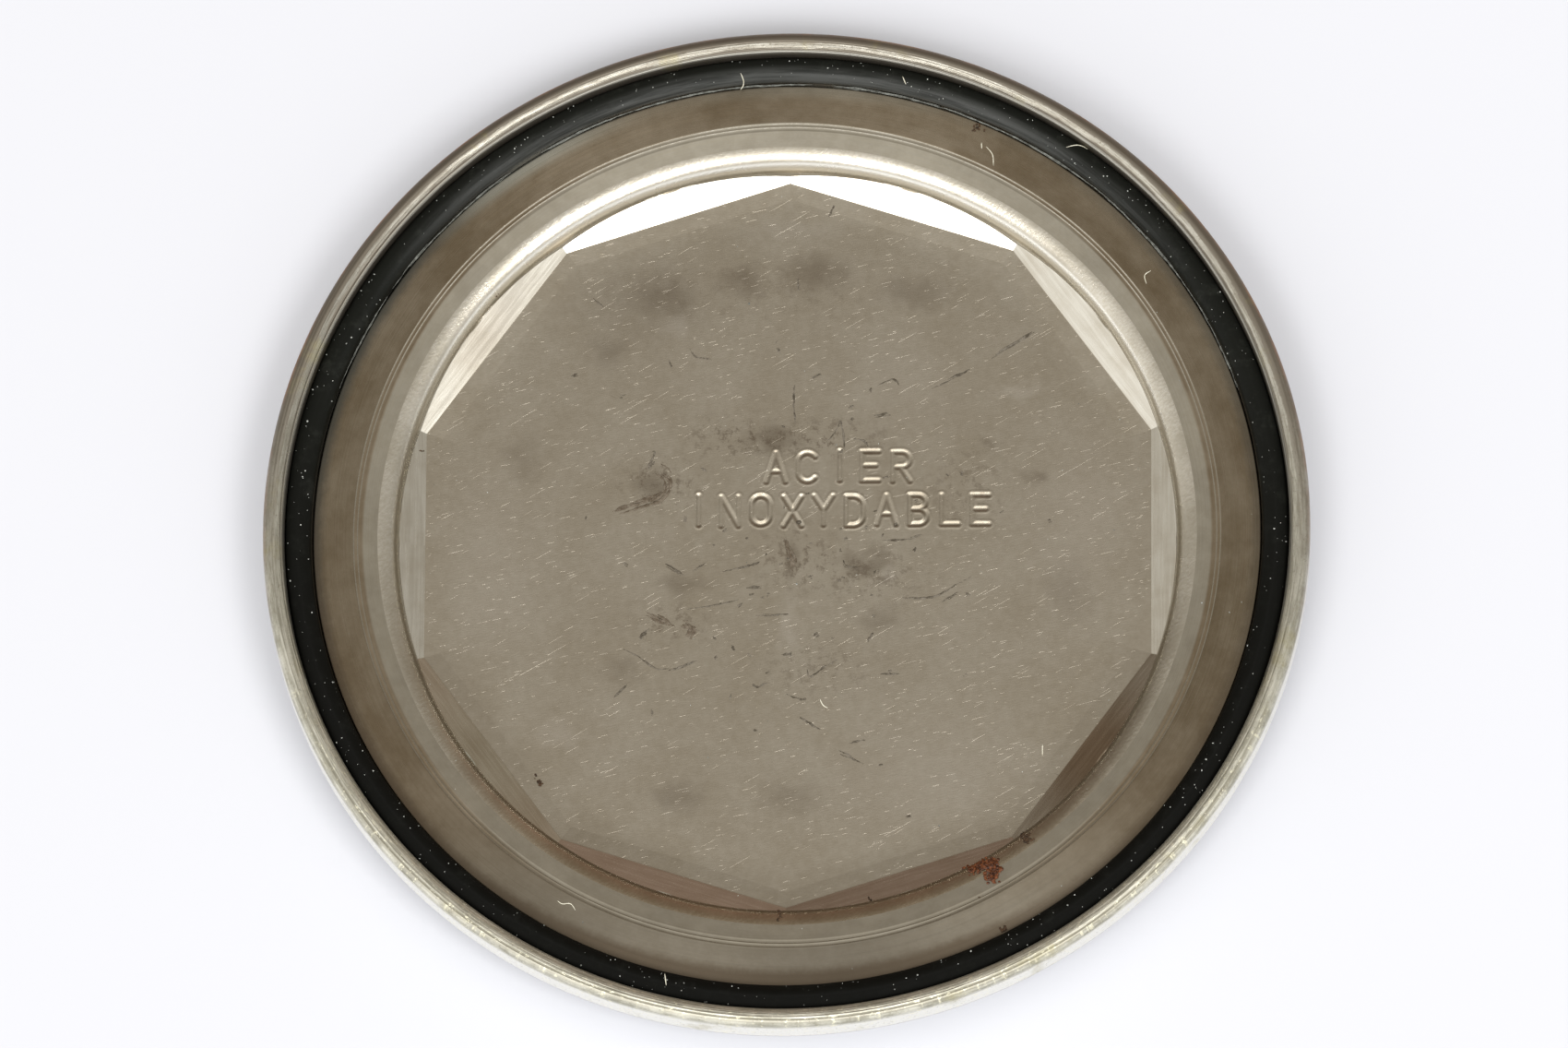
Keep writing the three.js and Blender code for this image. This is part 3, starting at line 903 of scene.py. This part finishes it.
def floor_marks(name, courses, half_width, spread, strands, material, strewn=0):
    """Thin dried smears on the floor along given courses, and some short ones strewn about."""
    draw = random.Random(11)
    build = Build()
    courses = list(courses)
    for _ in range(strewn):
        x = draw.gauss(0.5, 3)
        y = draw.gauss(-0.5, 3.2)
        angle = math.radians(draw.choice((20, 25, -30, 80)) + draw.uniform(-15, 15))
        reach = draw.uniform(0.06, 0.2)
        courses.append(((x, y), (x + reach * math.cos(angle), y + reach * math.sin(angle))))
    for course in courses:
        whole = smooth_path(course)
        for _ in range(strands):
            start = draw.randrange(0, max(1, len(whole) - 5))
            end = draw.randrange(min(start + 4, len(whole) - 1), len(whole))
            aside = astray(draw, spread)
            path = []
            for point in whole[start:end + 1]:
                stray = Vector((draw.uniform(-1, 1), draw.uniform(-1, 1))) * MARK_STRAY
                x, y = point + aside + stray
                path.append(Vector((x, y, height_at(x, y))))
            strand(build, path, half_width * draw.uniform(0.4, 1), MARK_HALF_HEIGHT, draw, 0.6)
    made = build.finish(name, [material])
    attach(made, "case_back")


def grain_shape():
    """The corners and faces of a unit ball of twenty triangles."""
    ball = bmesh.new()
    bmesh.ops.create_icosphere(ball, subdivisions=1, radius=1)
    ball.verts.ensure_lookup_table()
    corners = [vert.co.copy() for vert in ball.verts]
    faces = [tuple(vert.index for vert in face.verts) for face in ball.faces]
    ball.free()
    return corners, faces


GRAIN_SHAPE = grain_shape()


def grain(build, middle, size, draw):
    """One irregular closed grain."""
    corners, faces = GRAIN_SHAPE
    stretch = Vector((draw.uniform(0.7, 1.4), draw.uniform(0.7, 1.4), draw.uniform(0.5, 0.9)))
    first = build.add_points(
        Vector(middle) + corner * stretch * (size * draw.uniform(0.75, 1.2)) for corner in corners
    )
    for face in faces:
        build.add_face(tuple(first + index for index in face))


# Spots of rust: the course each follows, how many grains it has, how far they stray and their size.
RUST_SPOTS = (
    (((5.65, -10.72), (6.05, -10.65), (6.3, -10.6), (6.38, -10.85), (6.3, -11.1)), 260, 0.09, 0.062),
)
# Specks of black dirt in the same terms.
DIRT_SPOTS = (
    (((-7.68, -7.4), (-7.57, -7.52), (-7.5, -7.75)), 14, 0.04, 0.04),
    (((5.75, 13.15), (5.8, 13)), 14, 0.06, 0.045),
    (((5.92, -11.71), (5.93, -11.72)), 2, 0.02, 0.03),
    (((6.66, -12.75), (6.68, -12.72)), 8, 0.05, 0.05),
    (((-11.3, 3), (-11.15, 3.05)), 3, 0.02, 0.03),
    (((-9, 7.9), (-8.9, 7.95)), 2, 0.02, 0.025),
    (((7.2, -9.55), (7.3, -9.75), (7.45, -9.9)), 70, 0.08, 0.032),
    (((-0.27, -12), (-0.14, -12.1), (-0.18, -12.35)), 16, 0.03, 0.035),
    (((2.55, -11.5), (2.6, -11.55)), 6, 0.03, 0.03),
)


def grain_spots(name, spots, material, seed):
    """Closed grains heaped along the courses of some spots."""
    draw = random.Random(seed)
    build = Build()
    for course, count, stray, size in spots:
        path = smooth_path(course)
        for _ in range(count):
            place = draw.choice(path) + astray(draw, stray)
            grown = size * draw.uniform(0.5, 1.2)
            height = height_at(*place) + grown * 0.4
            grain(build, (*place, height), grown, draw)
    made = build.finish(name, [material], smooth=False)
    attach(made, "case_back")


# The course in plan of each fibre of lint, on the steel and on the gasket.
LINT_ON_STEEL = (
    ((6.06, 12.47), (6.26, 12.2), (6.29, 11.84)),
    ((5.92, 12.6), (5.93, 12.4)),
    ((11.13, 8.39), (10.94, 8.24), (10.99, 7.97)),
    ((-6.9, -11.75), (-6.75, -11.85), (-6.5, -11.85), (-6.35, -12.05)),
    ((1, -5), (1.1, -5.2), (1.25, -5.3)),
    ((7.8, -6.5), (7.8, -6.85)),
)
LINT_ON_GASKET = (
    ((8.54, 12.25), (8.91, 12.35), (9.19, 12.29)),
    ((3.5, 14.6), (3.6, 14.35)),
    ((-1.49, 14.75), (-1.4, 14.5), (-1.5, 14.3)),
    ((-3.6, -14.2), (-3.55, -14.6)),
)
LINT_LIFT = 0.02
LINT_HALF_WIDTH = 0.016
LINT_HALF_HEIGHT = 0.014


def gasket_height(x, y):
    """The height of the gasket's upper surface."""
    share = min(1, abs(math.hypot(x, y) - GASKET_MIDDLE_RADIUS) / (GASKET_WIDTH / 2))
    return GASKET_MIDDLE_HEIGHT + GASKET_HALF_HEIGHT * math.sqrt(1 - share * share)


def lint(name, courses, height, body, material):
    """Fibres that lie on a surface of a given height."""
    draw = random.Random(7)
    build = Build()
    for course in courses:
        path = [Vector((x, y, height(x, y) + LINT_LIFT)) for x, y in smooth_path(course)]
        strand(build, path, LINT_HALF_WIDTH, LINT_HALF_HEIGHT, draw, 0.2)
    made = build.finish(name, [material])
    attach(made, body)


def dust(name, count, radii, height, sizes, body, material, seed):
    """White specks strewn between two radii, as closed grains."""
    draw = random.Random(seed)
    build = Build()
    for _ in range(count):
        angle = draw.uniform(0, 2 * math.pi)
        radius = math.sqrt(draw.uniform(radii[0] ** 2, radii[1] ** 2))
        place = (radius * math.cos(angle), radius * math.sin(angle))
        size = draw.uniform(*sizes) * draw.uniform(0.5, 1)
        grain(build, (*place, height(*place) + size * 0.3), size, draw)
    made = build.finish(name, [material], smooth=False)
    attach(made, body)


def seat_dust(material):
    """Pale dust packed between the land and the gasket along the far side."""
    draw = random.Random(13)
    build = Build()
    stray = 0.008
    for _ in range(80):
        start = draw.uniform(18, 155)
        angles = [math.radians(start + step * 0.7) for step in range(draw.randint(5, 14))]
        radius = SEAT_RADIUS + draw.uniform(0, 0.05)
        path = []
        for angle in angles:
            x = (radius + draw.gauss(0, stray)) * math.cos(angle)
            y = (radius + draw.gauss(0, stray)) * math.sin(angle)
            path.append(Vector((x, y, LAND + 0.03)))
        strand(build, path, draw.uniform(0.008, 0.022), 0.02, draw, 0.5)
    made = build.finish("seat_dust", [material])
    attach(made, "case_back")


def stage_floor():
    """The pale table that the back lies on. It glows faintly, a painted light that lifts the shadows
    around the back.
    """
    table = Shader("table")
    table.colour = (0.515, 0.52, 0.548)
    # Painted light: a faint glow that lifts the contact shadows.
    material = table.finished(0.7, Emission_Color=(0.97, 0.98, 1), Emission_Strength=0.12)
    build = Build()
    half = 1500
    build.add_points([(-half, -half, 0), (half, -half, 0), (half, half, 0), (-half, half, 0)])
    build.add_face((0, 1, 2, 3))
    made = build.finish("table", [material], smooth=False)


LIGHT_DISTANCE = 0.6
LIGHT_SIZE = 0.22


def soft_box(name, azimuth, elevation, power):
    """A square soft light, by its direction from the object in degrees."""
    a = math.radians(azimuth)
    e = math.radians(elevation)
    towards = Vector((math.cos(a) * math.cos(e), math.sin(a) * math.cos(e), math.sin(e)))
    data = bpy.data.lights.new(name, "AREA")
    data.shape = "SQUARE"
    data.size = LIGHT_SIZE
    data.energy = power
    made = bpy.data.objects.new(name, data)
    made.location = towards * LIGHT_DISTANCE
    made.rotation_euler = towards.to_track_quat("Z", "Y").to_euler()
    bpy.context.scene.collection.objects.link(made)


# The room's light from the near side to the far side: a place from 0 to 1 and a colour.
ROOM_LIGHT = (
    (0, (1.1, 1.1, 1.12)),
    (0.4, (1.3, 1.3, 1.3)),
    (0.5, (0.98, 0.97, 0.95)),
    (0.66, (0.66, 0.64, 0.6)),
    (0.82, (0.31, 0.265, 0.21)),
    (0.96, (0.32, 0.225, 0.18)),
)


def pale_room():
    """A room that is brighter on the near side and dim on the far side, and shows as plain."""
    world = bpy.data.worlds.new("room")
    bpy.context.scene.world = world
    world.use_nodes = True
    room = Nodes(world.node_tree)
    direction = room.add("ShaderNodeTexCoord").outputs["Generated"]
    x, y, _ = room.add("ShaderNodeSeparateXYZ", {0: direction}).outputs
    far = room.add("ShaderNodeMapRange", {"Value": y, "From Min": -1}).outputs["Result"]
    ramp = room.add("ShaderNodeValToRGB", {"Fac": far})
    elements = ramp.color_ramp.elements
    while len(elements) < len(ROOM_LIGHT):
        elements.new(0.5)
    for element, (position, colour) in zip(elements, ROOM_LIGHT):
        element.position = position
        element.color = (*colour, 1)
    lean_range = {"From Min": 0.32, "From Max": 0.7, "To Min": -0.22, "To Max": 0.5}
    lean = room.add("ShaderNodeMapRange", {"Value": y, **lean_range}).outputs["Result"]
    strength = room.add("ShaderNodeMath", {0: x, 1: lean, 2: 1}, operation="MULTIPLY_ADD")
    light = {"Color": ramp.outputs["Color"], "Strength": strength.outputs[0]}
    lit = room.add("ShaderNodeBackground", light).outputs[0]
    backdrop = room.add("ShaderNodeBackground", {"Color": (0.9, 0.91, 0.93)}).outputs[0]
    seen = room.add("ShaderNodeLightPath").outputs["Is Camera Ray"]
    either = room.add("ShaderNodeMixShader", {0: seen, 1: lit, 2: backdrop})
    room.add("ShaderNodeOutputWorld", {"Surface": either.outputs[0]})


camera()
stage_floor()
soft_box("left_light", 245, 56, 1.4)
soft_box("right_light", 311, 57, 1.8)
pale_room()

steel_back = case_back({
    "floor": floor_steel(),
    "facet": facet_steel(),
    "roll": roll_steel(),
    "ledge": turned_steel("ledge_steel", 0.36, 0.2),
    "land": turned_steel("land_steel", 0.26, 0.85),
    "lip": lip_steel(),
    "outside": outside_steel(),
})
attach(steel_back, "case_back")
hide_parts("case_back")

rubber_ring = gasket()
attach(rubber_ring, "gasket")
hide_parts("gasket")

smear_dark = dirt_material("dark_smear", (0.058, 0.047, 0.032), (0.165, 0.143, 0.112), 5)
smear_brown = dirt_material("brown_smear", (0.075, 0.055, 0.035), (0.155, 0.128, 0.095), 5)
rust = dirt_material("rust", (0.022, 0.008, 0.004), (0.145, 0.045, 0.013), 10, roughness=0.45)
black_dirt = dirt_material("black_dirt", (0.02, 0.014, 0.009), (0.075, 0.042, 0.022), 12)
cotton = dirt_material("cotton", (0.55, 0.52, 0.4), (0.75, 0.72, 0.6), 8)
pale_dust = dirt_material("pale_dust", (0.07, 0.073, 0.063), (0.5, 0.51, 0.47), 3)

floor_marks("thin_marks", THIN_MARKS, 0.03, 0.022, 3, smear_dark, strewn=60)
floor_marks("broad_marks", BROAD_MARKS, 0.045, 0.07, 14, smear_brown)
grain_spots("rust_grains", RUST_SPOTS, rust, 3)
grain_spots("dirt_grains", DIRT_SPOTS, black_dirt, 5)
seat_dust(dirt_material("packed_dust", (0.09, 0.09, 0.078), (0.21, 0.215, 0.19), 7))
lint("lint_on_steel", LINT_ON_STEEL, height_at, "case_back", cotton)
lint("lint_on_gasket", LINT_ON_GASKET, gasket_height, "gasket", cotton)
on_gasket = (GASKET_OUTER_RADIUS - GASKET_WIDTH + 0.05, GASKET_OUTER_RADIUS - 0.05)
in_dish = (0, SEAT_RADIUS - 0.1)
dust("gasket_dust", 420, on_gasket, gasket_height, (0.008, 0.028), "gasket", pale_dust, 8)
dust("floor_dust", 60, in_dish, height_at, (0.012, 0.032), "case_back", pale_dust, 9)

bpy.context.scene.view_settings.view_transform = "Standard"
